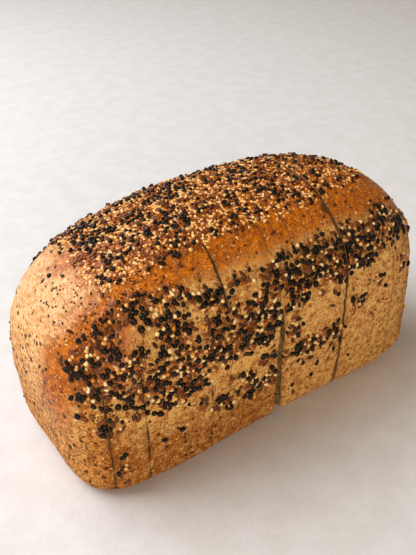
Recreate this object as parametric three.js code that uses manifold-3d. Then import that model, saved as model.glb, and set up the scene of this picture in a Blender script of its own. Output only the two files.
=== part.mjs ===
// A seeded wholegrain loaf, baked in a tin and sliced across its length, with all its slices
// standing together as they leave the slicer. Millimetres, +Z up. The loaf's length lies along X,
// its base is on z = 0, and the origin is the centre of the base.
import * as THREE from "three";
import { ParametricGeometry } from "three/addons/geometries/ParametricGeometry.js";
import { mergeVertices } from "three/addons/utils/BufferGeometryUtils.js";
import Module from "manifold-3d";

// Driving dimensions of the whole loaf.
const LENGTH = 220;
const WIDTH = 108.6;
const HEIGHT = 117.5;
const RIM_HEIGHT = 46.5; // the tin holds the dough up to here, and above it the dough domes
const BASE_EDGE_RADIUS = 8;
const END_FLARE = 0.11; // slope of the tin's end walls, which lean outwards
const WAIST = 0.12; // share of the width by which the long sides sink in at the middle of the base
const WAIST_TOP = 95; // the waist fades out at this height

// Exponents of the superellipses: 2 is an ellipse, and larger ones are squarer.
const DOME = { rise: 3.05, along: 2.7, across: 2.4 };
const PLAN = { base: 5, crown: 2.2 };

// Thickness of each slice from the left end to the right, the two heels included.
const SLICE_THICKNESS = [
  17.2, 17, 8.4, 13.1, 12.8, 10.2, 14.4, 14.4, 14.2, 14.2, 14.3, 12.4, 12.4, 12.4, 13.2, 19.4,
];
const KERF = 0.4; // what the slicer's blade takes out
const CUT_SKEW = Math.atan(0.03); // the cuts run this far off square to the loaf's long sides
const SIDE_SLIP = 0.45; // how far a slice stands out of line with its neighbours, sideways
const OPEN_CUT = 8; // the slice whose left face has come away from its neighbour at the foot
const OPEN_CUT_WIDTH = 5;
const OPEN_CUT_HEIGHT = 80;

// How finely the loaf's skin is divided.
const LONG_SIDE_STEPS = 24;
const END_STEPS = 12;
const EDGE_RINGS = 4;
const WALL_RINGS = 4;
const DOME_RINGS = 11;

const CRUST_COLOUR = 0xa8672f;
const CRUMB_COLOUR = 0xb98a55;
const CUTTER_SIZE = 400; // any size larger than the loaf

// Height of a ring of the skin, from 0 where the base edge starts to the last one at the crown.
function ringHeight(ring) {
  if (ring <= EDGE_RINGS) {
    return BASE_EDGE_RADIUS * (1 - Math.cos((Math.PI / 2) * (ring / EDGE_RINGS)));
  }
  const aboveEdge = ring - EDGE_RINGS;
  if (aboveEdge <= WALL_RINGS) {
    return BASE_EDGE_RADIUS + (RIM_HEIGHT - BASE_EDGE_RADIUS) * (aboveEdge / WALL_RINGS);
  }
  const climb = (Math.PI / 2) * Math.min((aboveEdge - WALL_RINGS) / DOME_RINGS, 1);
  return RIM_HEIGHT + (HEIGHT - RIM_HEIGHT) * Math.sin(climb) ** (2 / DOME.rise);
}

// Half length, half width and squareness of the level outline at a height.
function outlineAt(height) {
  const belowRim = Math.max(RIM_HEIGHT - height, 0);
  const intoEdge = Math.max(BASE_EDGE_RADIUS - height, 0);
  const edgeInset = BASE_EDGE_RADIUS - Math.sqrt(BASE_EDGE_RADIUS ** 2 - intoEdge ** 2);
  const climb = Math.max(height - RIM_HEIGHT, 0) / (HEIGHT - RIM_HEIGHT);
  const left = Math.max(1 - climb ** DOME.rise, 0);
  return {
    halfLength: (LENGTH / 2 - END_FLARE * belowRim - edgeInset) * left ** (1 / DOME.along),
    halfWidth: (WIDTH / 2 - edgeInset) * left ** (1 / DOME.across),
    squareness: PLAN.base + (PLAN.crown - PLAN.base) * (height / HEIGHT),
  };
}

// A point on the outline of the square from (-1, -1) to (1, 1), u running once round it.
function squareOutline(u) {
  const lap = u % 1;
  const half = (lap % 0.5) / 0.5;
  const longShare = LONG_SIDE_STEPS / (LONG_SIDE_STEPS + END_STEPS);
  const along = half < longShare;
  const x = along ? (2 * half) / longShare - 1 : 1;
  const y = along ? -1 : (2 * (half - longShare)) / (1 - longShare) - 1;
  return lap < 0.5 ? [x, y] : [-x, -y];
}

// The skin of the whole loaf: u goes round it, and v climbs from the middle of the base to the crown.
function skin(u, v, target) {
  const step = v * (1 + EDGE_RINGS + WALL_RINGS + DOME_RINGS);
  const height = ringHeight(Math.max(step - 1, 0));
  const { halfLength, halfWidth, squareness } = outlineAt(height);
  const [squareX, squareY] = squareOutline(u);
  const reach = (Math.abs(squareX) ** squareness + Math.abs(squareY) ** squareness) ** (-1 / squareness);
  const x = halfLength * squareX * reach;
  const middle = 1 - Math.min(Math.abs(x) / (LENGTH / 2), 1) ** 2;
  const waist = 1 - WAIST * middle * Math.max(1 - height / WAIST_TOP, 0);
  const spread = Math.min(step, 1); // below 1 inside the flat base
  target.set(x * spread, halfWidth * squareY * reach * waist * spread, height);
}

const manifold = await Module();
manifold.setup();

// A closed three.js geometry as a solid that can be cut.
function toSolid(geometry) {
  const bare = geometry.clone();
  bare.deleteAttribute("normal");
  bare.deleteAttribute("uv");
  const merged = mergeVertices(bare, 1e-4);
  return new manifold.Manifold(
    new manifold.Mesh({
      numProp: 3,
      vertProperties: new Float32Array(merged.getAttribute("position").array),
      triVerts: new Uint32Array(merged.getIndex().array),
    }),
  );
}

// A cut solid as a three.js geometry.
function toGeometry(solid) {
  const mesh = solid.getMesh();
  const geometry = new THREE.BufferGeometry();
  geometry.setAttribute("position", new THREE.BufferAttribute(mesh.vertProperties, 3));
  geometry.setIndex(new THREE.BufferAttribute(mesh.triVerts, 1));
  geometry.computeVertexNormals();
  return geometry;
}

// Turns a cutter that stands square to the loaf, so that it runs askew as the slicer's blades did.
function askew(cutter, x) {
  cutter.translate(-x, 0, 0);
  cutter.rotateZ(-CUT_SKEW);
  cutter.translate(x, 0, 0);
  return toSolid(cutter);
}

// The slab of space between two saw cuts.
function slab(left, right) {
  const middle = (left + right) / 2;
  const box = new THREE.BoxGeometry(right - left, CUTTER_SIZE, CUTTER_SIZE);
  box.translate(middle, 0, 0);
  return askew(box, middle);
}

// The wedge of space beside a cut that has opened at its foot.
function openWedge(left) {
  const below = 1;
  const side = new THREE.Shape();
  side.moveTo(left - KERF, -below);
  side.lineTo(left + OPEN_CUT_WIDTH, -below);
  side.lineTo(left, OPEN_CUT_HEIGHT);
  side.lineTo(left - KERF, OPEN_CUT_HEIGHT);
  const wedge = new THREE.ExtrudeGeometry(side, { depth: CUTTER_SIZE, bevelEnabled: false });
  wedge.rotateX(Math.PI / 2);
  wedge.translate(0, CUTTER_SIZE / 2, 0);
  return askew(wedge, left);
}

function breadMaterial(isHeel) {
  return new THREE.MeshStandardMaterial({
    color: isHeel ? CRUST_COLOUR : CRUMB_COLOUR,
    roughness: 0.8,
    metalness: 0,
  });
}

function sliceName(index) {
  if (index === 0) return "heel_left";
  if (index === SLICE_THICKNESS.length - 1) return "heel_right";
  return `slice_${String(index).padStart(2, "0")}`;
}

function slicedLoaf() {
  const group = new THREE.Group();
  const steps = [2 * (LONG_SIDE_STEPS + END_STEPS), 1 + EDGE_RINGS + WALL_RINGS + DOME_RINGS];
  const whole = toSolid(new ParametricGeometry(skin, ...steps));
  let left = -LENGTH / 2;
  SLICE_THICKNESS.forEach((thickness, index) => {
    const isFirst = index === 0;
    const isLast = index === SLICE_THICKNESS.length - 1;
    const right = left + thickness;
    const cutLeft = isFirst ? -LENGTH : left + KERF / 2;
    const cutRight = isLast ? LENGTH : right - KERF / 2;
    let solid = whole.intersect(slab(cutLeft, cutRight));
    if (index === OPEN_CUT) solid = solid.subtract(openWedge(cutLeft));
    const middle = (left + right) / 2;
    const geometry = toGeometry(solid);
    geometry.translate(-middle, 0, 0);
    const slice = new THREE.Mesh(geometry, breadMaterial(isFirst || isLast));
    slice.name = sliceName(index);
    slice.position.set(middle, SIDE_SLIP * Math.sin(1.9 * index), 0);
    group.add(slice);
    left = right;
  });
  return group;
}

export default slicedLoaf();
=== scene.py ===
"""Looks of a sliced, seeded wholegrain tin loaf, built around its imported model.

The loaf is one smooth tin shape, cut into slices. Each slice becomes one closed skin of crust with two
faces of crumb, and a second piece holds the seeds that are baked into its crust. The loaf and the camera
are given in millimetres, and turn into metres where a mesh is made or the camera is placed. The lamps,
the floor and the depths of bumps are given in metres, and the scales of patterns are counts to a metre.
"""

import logging
import math
from collections.abc import Callable
from dataclasses import dataclass, field
from enum import Enum

import bpy
import numpy as np
from mathutils import Matrix, Vector


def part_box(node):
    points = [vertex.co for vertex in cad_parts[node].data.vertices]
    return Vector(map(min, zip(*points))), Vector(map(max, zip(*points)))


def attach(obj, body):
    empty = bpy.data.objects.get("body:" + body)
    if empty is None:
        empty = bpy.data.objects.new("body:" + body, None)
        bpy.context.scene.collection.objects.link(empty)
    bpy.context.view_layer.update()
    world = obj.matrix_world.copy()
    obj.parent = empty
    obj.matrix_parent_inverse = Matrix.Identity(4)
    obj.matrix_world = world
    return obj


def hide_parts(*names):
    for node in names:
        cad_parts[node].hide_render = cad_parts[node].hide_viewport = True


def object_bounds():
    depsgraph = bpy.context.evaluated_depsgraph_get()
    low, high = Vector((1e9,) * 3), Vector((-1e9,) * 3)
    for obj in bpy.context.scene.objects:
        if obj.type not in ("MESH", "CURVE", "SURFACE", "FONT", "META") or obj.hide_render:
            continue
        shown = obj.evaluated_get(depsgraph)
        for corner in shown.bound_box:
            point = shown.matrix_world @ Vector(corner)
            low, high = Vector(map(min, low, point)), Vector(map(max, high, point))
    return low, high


LOG = logging.getLogger("tin_loaf")
Array = np.ndarray
Ramp = tuple[float, float]  # where a smooth step starts and where it ends
MM = 0.001  # one millimetre in metres

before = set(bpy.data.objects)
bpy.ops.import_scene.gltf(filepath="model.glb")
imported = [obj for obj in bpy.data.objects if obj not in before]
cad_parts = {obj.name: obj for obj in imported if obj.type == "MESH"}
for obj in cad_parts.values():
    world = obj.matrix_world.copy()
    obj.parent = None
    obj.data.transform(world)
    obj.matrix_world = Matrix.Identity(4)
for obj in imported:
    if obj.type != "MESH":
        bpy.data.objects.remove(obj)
CAD_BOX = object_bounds()


# Small mathematics


def smooth_step(value: Array, low: float, high: float) -> Array:
    """Climbs from 0 at low to 1 at high with level ends, 3t^2 - 2t^3.

    Args:
        value: The values to look at.
        low: Where the climb starts.
        high: Where it ends. It may be below low, and then the result falls as value grows.

    Returns:
        Numbers from 0 to 1, shaped like value.
    """
    share = np.clip((value - low) / (high - low), 0.0, 1.0)
    return share * share * (3.0 - 2.0 * share)


def unit(vectors: Array) -> Array:
    """Scales vectors, held in the last axis, to length 1."""
    return vectors / np.maximum(np.linalg.norm(vectors, axis=-1, keepdims=True), 1e-9)


class SolidNoise:
    """Smooth random values that fill space, and a field of scattered cells, from one seed."""

    ENTRIES = 256  # a power of two, so that a whole number is wrapped by masking

    def __init__(self, seed: int) -> None:
        """Draws the tables that the noise looks its random values up in.

        Args:
            seed: Number that the random tables start from.
        """
        rng = np.random.default_rng(seed)
        self._order = np.concatenate([rng.permutation(self.ENTRIES)] * 2)
        self._slopes = unit(rng.normal(size=(self.ENTRIES, 3)))
        self._spots = rng.random((self.ENTRIES, 3))

    def _hash(self, cell: Array) -> Array:
        """A table entry for each whole-number cell corner."""
        x, y, z = np.moveaxis(cell & (self.ENTRIES - 1), -1, 0)
        return self._order[self._order[self._order[x] + y] + z]

    def at(self, points: Array, size: Array | float) -> Array:
        """Gradient noise: random slopes at the corners of a lattice, blended by the quintic fade.

        Args:
            points: Places, in millimetres, in the last axis.
            size: The lattice's spacing, one number or one for each axis.

        Returns:
            Values from about -1 to 1.
        """
        scaled = points / size
        base = np.floor(scaled).astype(int)
        part = scaled - base
        fade = part**3 * (part * (part * 6.0 - 15.0) + 10.0)
        total = np.zeros(points.shape[:-1])
        for offset in np.ndindex(2, 2, 2):
            corner = np.array(offset)
            slope = self._slopes[self._hash(base + corner)]
            weight = np.prod(np.where(corner == 1, fade, 1.0 - fade), axis=-1)
            total += weight * np.sum(slope * (part - corner), axis=-1)
        return 1.6 * total

    def layered(self, points: Array, size: Array | float, layers: int) -> Array:
        """Noise with finer noise on it, each layer half as large and 0.55 times as strong."""
        size = np.asarray(size, float)
        return sum(0.55**i * self.at(points + 37.0 * i, size / 2**i) for i in range(layers))

    def cells(self, points: Array, size: Array | float) -> tuple[Array, Array]:
        """Distances to spots scattered one to a lattice cell, in cell widths.

        Args:
            points: Places, in millimetres, in the last axis.
            size: The lattice's spacing, one number or one for each axis.

        Returns:
            The distance to the nearest spot, and that spot's random value.
        """
        scaled = points / size
        base = np.floor(scaled).astype(int)
        nearest = np.full(points.shape[:-1], 9.0)
        value = np.zeros(points.shape[:-1])
        for offset in np.ndindex(3, 3, 3):
            cell = base + np.array(offset) - 1
            entry = self._hash(cell)
            distance = np.linalg.norm(cell + self._spots[entry] - scaled, axis=-1)
            closer = distance < nearest
            value = np.where(closer, entry / (self.ENTRIES - 1), value)
            nearest = np.where(closer, distance, nearest)
        return nearest, value


# The loaf's shape


@dataclass(frozen=True)
class TinShape:
    """The whole loaf before it is cut: a flared tin shape below the rim and a dome above it.

    Every level section is a superellipse, |x/a|^n + |y/b|^n = 1, whose half length a, half width b and
    squareness n change with height. The base edge is rounder at the left end than at the right.
    """

    length: float
    height: float
    half_width: float = 54.3
    rim: float = 46.5
    base_radius: float = 10.0
    base_skew: float = 0.16
    end_flare: float = 0.085
    waist: float = 0.12
    waist_top: float = 95.0
    rise: float = 3.05
    along: float = 2.7
    across: float = 2.4
    base_square: float = 5.0
    crown_square: float = 2.2

    def level(self, x: Array, z: Array) -> tuple[Array, Array, Array]:
        """Half length, half width and squareness of the level section.

        Args:
            x: Places along the loaf, which the waist depends on.
            z: Heights above the base.

        Returns:
            Three arrays, shaped like x and z together.
        """
        climb = np.clip((z - self.rim) / (self.height - self.rim), 0.0, 0.999999)
        left = 1.0 - climb**self.rise
        radius = self.base_radius * (1.0 - self.base_skew * x / (self.length / 2))
        into_edge = np.clip(radius - z, 0.0, radius)
        inset = radius - np.sqrt(radius**2 - into_edge**2)
        below = np.maximum(self.rim - z, 0.0)
        half_length = (self.length / 2 - self.end_flare * below - 0.6 * inset) * left ** (1 / self.along)
        middle = 1.0 - np.minimum(np.abs(x) / (self.length / 2), 1.0) ** 2
        waist = 1.0 - self.waist * middle * np.maximum(1.0 - z / self.waist_top, 0.0)
        half_width = (self.half_width - inset) * left ** (1 / self.across) * waist
        square = self.base_square + (self.crown_square - self.base_square) * z / self.height
        return half_length, half_width, square

    def fullness(self, points: Array) -> Array:
        """How near the skin points are: |x/a|^n + |y/b|^n inside the loaf's height, and 9 beyond it.

        Args:
            points: Places, in the last axis.

        Returns:
            0 at the loaf's axis and 1 on its skin.
        """
        x, y, z = points[..., 0], points[..., 1], points[..., 2]
        half_length, half_width, square = self.level(x, np.clip(z, 0.0, self.height))
        value = (np.abs(x) / half_length) ** square + (np.abs(y) / half_width) ** square
        return np.where((z < 0.0) | (z >= self.height), 9.0, value)

    def skin(self, origins: Array, directions: Array) -> Array:
        """Where rays from inside the loaf leave it, found by halving the distance thirty times.

        Args:
            origins: Points inside the loaf.
            directions: The rays' directions, of any length.

        Returns:
            The points on the skin.
        """
        near = np.zeros(directions.shape[:-1])
        far = near + 2.0 * self.length / np.linalg.norm(directions, axis=-1)
        for _ in range(30):
            middle = (near + far) / 2
            outside = self.fullness(origins + directions * middle[..., None]) > 1.0
            near, far = np.where(outside, near, middle), np.where(outside, middle, far)
        return origins + directions * near[..., None]

    def normals(self, points: Array) -> Array:
        """Outward normals of the skin, from how fullness changes over a fifth of a millimetre.

        Args:
            points: Places on the skin.

        Returns:
            Unit vectors, straight down on the flat underside.
        """
        step = 0.2
        inner = points * np.array([0.998, 0.998, 1.0])
        slopes = []
        for axis in np.eye(3) * step:
            up, down = inner + axis, inner - axis
            up[..., 2] = np.clip(up[..., 2], 0.0, self.height - 0.01)
            down[..., 2] = np.clip(down[..., 2], 0.0, self.height - 0.01)
            slopes.append(self.fullness(up) - self.fullness(down))
        outward = unit(np.stack(slopes, axis=-1))
        under = (points[..., 2] < 0.05) & (self.fullness(points + [0, 0, 0.1]) < 0.995)
        return np.where(under[..., None], np.array([0.0, 0.0, -1.0]), outward)


@dataclass(frozen=True)
class Girth:
    """The way round the loaf: directions about its axis, evenly spaced along the middle section's skin.

    It starts under the middle of the base and turns over the front wall, the crown and the back wall.
    A step's girth is its distance along that skin from the front foot, so on the front wall it is the
    height, and it grows on over the crown and down the back.
    """

    shape: TinShape
    steps: int = 560

    def turned(self) -> tuple[Array, Array]:
        """The direction and the girth of every step.

        Returns:
            Angles in radians about the loaf's axis, falling by a whole turn, and girths.
        """
        angles = np.linspace(-0.5 * math.pi, -2.5 * math.pi, 8001)
        rays = np.stack([0 * angles, np.cos(angles), np.sin(angles)], axis=-1)
        points = self.shape.skin(np.array([0.0, 0.0, self.shape.rim]), rays)
        gaps = np.linalg.norm(np.diff(points, axis=0), axis=-1)
        reach = np.concatenate([[0.0], np.cumsum(gaps)])
        even = np.linspace(0.0, reach[-1], self.steps, endpoint=False)
        front_wall = np.interp(math.pi, -angles, reach)
        return np.interp(even, reach, angles), even - front_wall + self.shape.rim


@dataclass(frozen=True)
class Cut:
    """A saw cut across the loaf, a little askew and torn, and how wide it gapes low and high.

    The cut is the surface x = place + skew * y + wander(z), and below foot_top it leans. Its gape runs
    from low to high between two heights. An open foot also takes a wide notch from the right-hand slice,
    foot * (climb ^ 0.7 + flare), where climb grows below foot_top and flare near the base.
    """

    place: float
    low: float = 0.0
    high: float = 0.0
    foot: float = 0.0
    foot_top: float = 76.0
    foot_round: tuple[float, float] = (2.3, 62.0)  # the open foot's edge radius, and where it is full
    lean: float = 0.0
    skew: float = 0.03
    turn: tuple[float, float] = (55.0, 85.0)
    wander: float = 0.16

    def half_gape(self, z: Array) -> Array:
        """Half the cut's width at heights z, thinned and thickened where the crust tore."""
        torn = 0.85 + 0.5 * np.sin(z / 3.1 + self.place) * np.sin(z / 7.7 + 2.0 * self.place)
        return torn * (self.low + (self.high - self.low) * smooth_step(z, *self.turn)) / 2

    def rounding(self, gap: Array, z: Array) -> Array:
        """How far the crust drops beside a gaping cut: a quarter circle, or none.

        Args:
            gap: Distances from the cut.
            z: Heights above the base.

        Returns:
            Drops along the normal.
        """
        radius, full_below = self.foot_round
        foot = radius * smooth_step(z, self.foot_top, full_below) * (self.foot > 0)
        radius = 0.02 + np.minimum(self.half_gape(z), 0.5) + foot
        near = np.clip(1.0 - gap / radius, 0.0, 1.0)
        return radius * (1.0 - np.sqrt(1.0 - 0.98 * near**2))

    def middle(self, y: Array, z: Array) -> Array:
        """Where the cut runs, halfway across its gape."""
        wander = self.wander * (np.sin(z / 6.1 + 1.3 * self.place) + 0.5 * np.sin(z / 2.3 + self.place))
        return self.place + self.skew * y + wander + self.lean * np.maximum(self.foot_top - z, 0.0)

    def overhang(self, z: Array) -> Array:
        """How far a seed may reach over the cut: not at all where it gapes, and freely where it is shut."""
        return 1.5 * smooth_step(self.half_gape(z), 0.1, 0.02) - 0.03

    def left_side(self, y: Array, z: Array) -> Array:
        """Where the cut meets the slice on its left."""
        return self.middle(y, z) - self.half_gape(z)

    def right_side(self, y: Array, z: Array) -> Array:
        """Where the cut meets the slice on its right, past the open foot's notch.

        Args:
            y: Places across the loaf.
            z: Heights above the base.

        Returns:
            Places along the loaf.
        """
        climb = np.clip((self.foot_top - z) / 16.0, 0.0, 1.0) ** 0.7
        flare = 0.35 * np.maximum(1.0 - z / 30.0, 0.0) ** 1.5
        return self.middle(y, z) + self.half_gape(z) + self.foot * (climb + flare)


# Relief of the crust and the crumb


@dataclass(frozen=True)
class Relief:
    """How far the baked skin stands off the smooth tin shape. Neighbouring slices share one field."""

    noise: SolidNoise = SolidNoise(11)
    swell: float = 0.7
    settle: float = 0.6
    lumps: float = 0.32
    grain: float = 0.2
    wrinkles: float = 0.3
    pits: float = 0.5
    sunk_z: Ramp = (70.0, 105.0)
    sunk_x: Ramp = (-30.0, 20.0)
    bubble_spacing: tuple[float, float, float] = (4.4, 4.4, 3.6)
    bubble_free: float = 0.76  # share of the cells that have no burst bubble

    def crust(self, points: Array, dome: Array) -> Array:
        """Broad swells, lumps and grain everywhere, wrinkles on the dome and burst bubbles on the walls.

        The crown also sinks a little below the smooth shape.

        A wrinkle is 1 - |noise| to the fourth power, stretched along the loaf. A burst bubble is a
        rounded pit about the spot of a cell, and only one cell in four has one.

        Args:
            points: Places on the smooth skin.
            dome: 1 on the dome and 0 on the walls.

        Returns:
            Heights along the outward normal.
        """
        noise = self.noise
        height = self.swell * noise.layered(points, 46.0, 2)
        x, z = points[..., 0], points[..., 2]
        height -= self.settle * smooth_step(z, *self.sunk_z) * (1.0 + 1.2 * smooth_step(x, *self.sunk_x))
        height += self.lumps * noise.layered(points + 9.0, 9.0, 2)
        height += self.grain * noise.layered(points + 31.0, 2.6, 2)
        ridge = (1.0 - np.abs(noise.layered(points, np.array([13.0, 6.0, 6.0]), 2))) ** 4
        height += self.wrinkles * dome * ridge
        near, value = noise.cells(points, np.array(self.bubble_spacing))
        hole = smooth_step(near, 0.42, 0.12) * (value > self.bubble_free) * (1.0 - 0.7 * dome)
        return height - self.pits * hole

    def crumb(self, points: Array) -> Array:
        """Depth of the open crumb in a cut face: round bubbles of two sizes and a torn grain between.

        Args:
            points: Places on the flat cut face.

        Returns:
            Depths into the slice.
        """
        large, value = self.noise.cells(points * np.array([0.3, 1.0, 1.0]), 5.2)
        small, _ = self.noise.cells(points + 5.0, 2.4)
        depth = 1.1 * smooth_step(large, 0.5, 0.1) * (value > 0.45)
        depth += 0.5 * smooth_step(small, 0.5, 0.1)
        return depth + 0.15 * (1.0 + self.noise.at(points, 1.7))


# Rings of skin


@dataclass
class RingSkin:
    """A closed skin made of rings stacked from its left end to its right one.

    A ring may hold half or twice as many points as its neighbour, and the first and the last ring are
    single points. Every ring's points start under the middle of the base and turn over the front.
    """

    rings: list[Array] = field(default_factory=list)
    girths: list[Array] = field(default_factory=list)
    rinds: list[float] = field(default_factory=list)
    kinds: list[int] = field(default_factory=list)

    def add(self, points: Array, girths: Array, rind: float, kind: int) -> None:
        """Adds a ring, and says which finish the band before it has.

        Args:
            points: The ring's points, one row each.
            girths: The girth of every step of a full ring.
            rind: 1 on the crust and 0 inside the crumb.
            kind: The number of the finish between this ring and the one before it.
        """
        self.rings.append(points)
        self.girths.append(thinned(girths, len(points)))
        self.rinds.append(rind)
        self.kinds.append(kind)

    def band(self, first: Array, second: Array) -> tuple[Array, Array]:
        """The faces between two rings of point numbers: squares, fans, or one square edge to two.

        Args:
            first: Point numbers of the left ring.
            second: Point numbers of the right ring.

        Returns:
            Squares as rows of four point numbers, and triangles as rows of three.
        """
        no_squares, no_triangles = np.zeros((0, 4), int), np.zeros((0, 3), int)
        after_first, after_second = np.roll(first, -1), np.roll(second, -1)
        if len(first) == len(second):
            return np.stack([first, second, after_second, after_first], axis=-1), no_triangles
        if len(first) == 1:
            fan = [np.repeat(first, len(second)), second, after_second]
            return no_squares, np.stack(fan, axis=-1)
        if len(second) == 1:
            fan = [after_first, first, np.repeat(second, len(first))]
            return no_squares, np.stack(fan, axis=-1)
        if len(first) > len(second):
            start, half, end = first[0::2], first[1::2], np.roll(first[0::2], -1)
            parts = [(start, second, half), (half, second, after_second), (half, after_second, end)]
        else:
            start, half, end = second[0::2], second[1::2], np.roll(second[0::2], -1)
            parts = [(first, start, half), (first, half, after_first), (after_first, half, end)]
        return no_squares, np.concatenate([np.stack(part, axis=-1) for part in parts])

    def mesh(self, name: str) -> bpy.types.Mesh:
        """Joins the rings into one mesh that also holds each point's rind value.

        Args:
            name: The mesh's name.

        Returns:
            The mesh, in metres.
        """
        sizes = [len(ring) for ring in self.rings]
        starts = np.concatenate([[0], np.cumsum(sizes)])
        numbers = [np.arange(a, b) for a, b in zip(starts[:-1], starts[1:])]
        faces: list[list[int]] = []
        kinds: list[int] = []
        for first, second, kind in zip(numbers[:-1], numbers[1:], self.kinds[1:]):
            squares, triangles = self.band(first, second)
            faces += squares.tolist() + triangles.tolist()
            kinds += [kind] * (len(squares) + len(triangles))
        mesh = new_mesh(name, np.concatenate(self.rings), faces, kinds)
        put_values(mesh, {"rind": np.repeat(self.rinds, sizes)})
        self.sharpen(mesh, kinds)
        return mesh

    def sharpen(self, mesh: bpy.types.Mesh, kinds: list[int]) -> None:
        """Makes the edges between two finishes sharp, so that crust and crumb shade apart.

        Args:
            mesh: The joined mesh.
            kinds: The finish number of each face.
        """
        totals = np.empty(len(mesh.polygons), np.int32)
        mesh.polygons.foreach_get("loop_total", totals)
        edges = np.empty(len(mesh.loops), np.int32)
        mesh.loops.foreach_get("edge_index", edges)
        finish = np.repeat(kinds, totals)
        count = len(mesh.edges)
        shared = np.bincount(edges, minlength=count)
        crumb = np.bincount(edges, weights=finish, minlength=count)
        layer = mesh.attributes.new("sharp_edge", "BOOLEAN", "EDGE")
        layer.data.foreach_set("value", (crumb > 0) & (crumb < shared))


def ring_sizes(spread: Array, steps: int) -> Array:
    """How many points rings of shrinking size get: halved each time the points come too close.

    Args:
        spread: Each ring's size as a share of the full one.
        steps: Points in a full ring.

    Returns:
        Point counts.
    """
    halvings = np.select([spread > 0.93, spread > 0.55, spread > 0.27, spread > 0.1], [0, 1, 2, 3], 4)
    return steps // 2**halvings


def thinned(values: Array, count: int) -> Array:
    """The values that a ring of count points has, out of those of a full ring."""
    return values[:: len(values) // count][:count]


def ring_gap(ring: Array, other: Array) -> Array:
    """The distance from each point of a ring to the nearest-numbered point of another ring.

    Args:
        ring: The ring's points.
        other: The other ring's points, as many, half or twice as many.

    Returns:
        One distance for each point of the first ring.
    """
    count = min(len(ring), len(other))
    gaps = np.linalg.norm(ring[:: len(ring) // count] - other[:: len(other) // count], axis=-1)
    return np.repeat(gaps, len(ring) // count)


def put_values(mesh: bpy.types.Mesh, values: dict[str, Array]) -> None:
    """Stores numbers for each point of a mesh, under names that materials read.

    Args:
        mesh: The mesh.
        values: One number for each point, by name.
    """
    for name, numbers in values.items():
        layer = mesh.attributes.new(name, "FLOAT", "POINT")
        layer.data.foreach_set("value", numbers.astype(np.float32))


def new_mesh(name: str, points: Array, faces: list[list[int]], kinds: list[int]) -> bpy.types.Mesh:
    """Makes a smoothly shaded mesh.

    Args:
        name: The mesh's name.
        points: Its points, in millimetres.
        faces: The point numbers of each face.
        kinds: The number of each face's finish.

    Returns:
        The mesh, in metres.
    """
    mesh = bpy.data.meshes.new(name)
    mesh.from_pydata(points * MM, [], faces)
    mesh.polygons.foreach_set("material_index", np.array(kinds, np.int32))
    mesh.polygons.foreach_set("use_smooth", np.ones(len(faces), bool))
    mesh.update()
    return mesh


def put_in_scene(data: bpy.types.ID) -> bpy.types.Object:
    """Adds an object to the scene, named as its data is.

    Args:
        data: Its mesh, lamp or camera.

    Returns:
        The object.
    """
    made = bpy.data.objects.new(data.name, data)
    bpy.context.scene.collection.objects.link(made)
    return made


# Where the crust is seeded, browned and blushed, and where shade and sheen are painted on it


@dataclass(frozen=True)
class Patch:
    """A soft oval on the front of the loaf, placed by its distance along the loaf and its climb."""

    along: float
    climb: float
    half_along: float
    half_climb: float
    strength: float
    lean: float = 0.0

    def at(self, along: Array, climb: Array) -> Array:
        """Strength in the oval's middle, falling to 0 outside it."""
        up = (climb - self.climb - self.lean * (along - self.along)) / self.half_climb
        return self.strength * smooth_step(np.hypot((along - self.along) / self.half_along, up), 1.25, 0.7)


def patches(*rows: tuple[float, ...]) -> tuple[Patch, ...]:
    """Patches from rows of their values."""
    return tuple(Patch(*row) for row in rows)


class Spots:
    """Places on the crust, by how far along the loaf and how far up its skin they lie.

    The back wall is the front one turned about: along is -x there, and the climb counts back down. On
    the end walls, where the girths run together, the climb is 0.6 z + 45, which meets it below the dome.
    """

    END: Ramp = (107.5, 100.0)

    def __init__(self, points: Array, girths: Array, crown_girth: float) -> None:
        """Works out the places.

        Args:
            points: Places on the skin.
            girths: Their girths.
            crown_girth: The girth of the middle of the crown.
        """
        self.points = points
        self.x, self.y, self.z = np.moveaxis(points, -1, 0)
        self.from_crown = np.abs(girths - crown_girth)
        self.behind = girths > crown_girth
        self.on_side = smooth_step(np.abs(self.x), *self.END)
        self.along = np.where(self.behind, -self.x, self.x)
        climb = np.where(self.behind, 2 * crown_girth - girths, girths)
        self.climb = climb * self.on_side + (0.6 * self.z + 45.0) * (1.0 - self.on_side)


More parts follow.
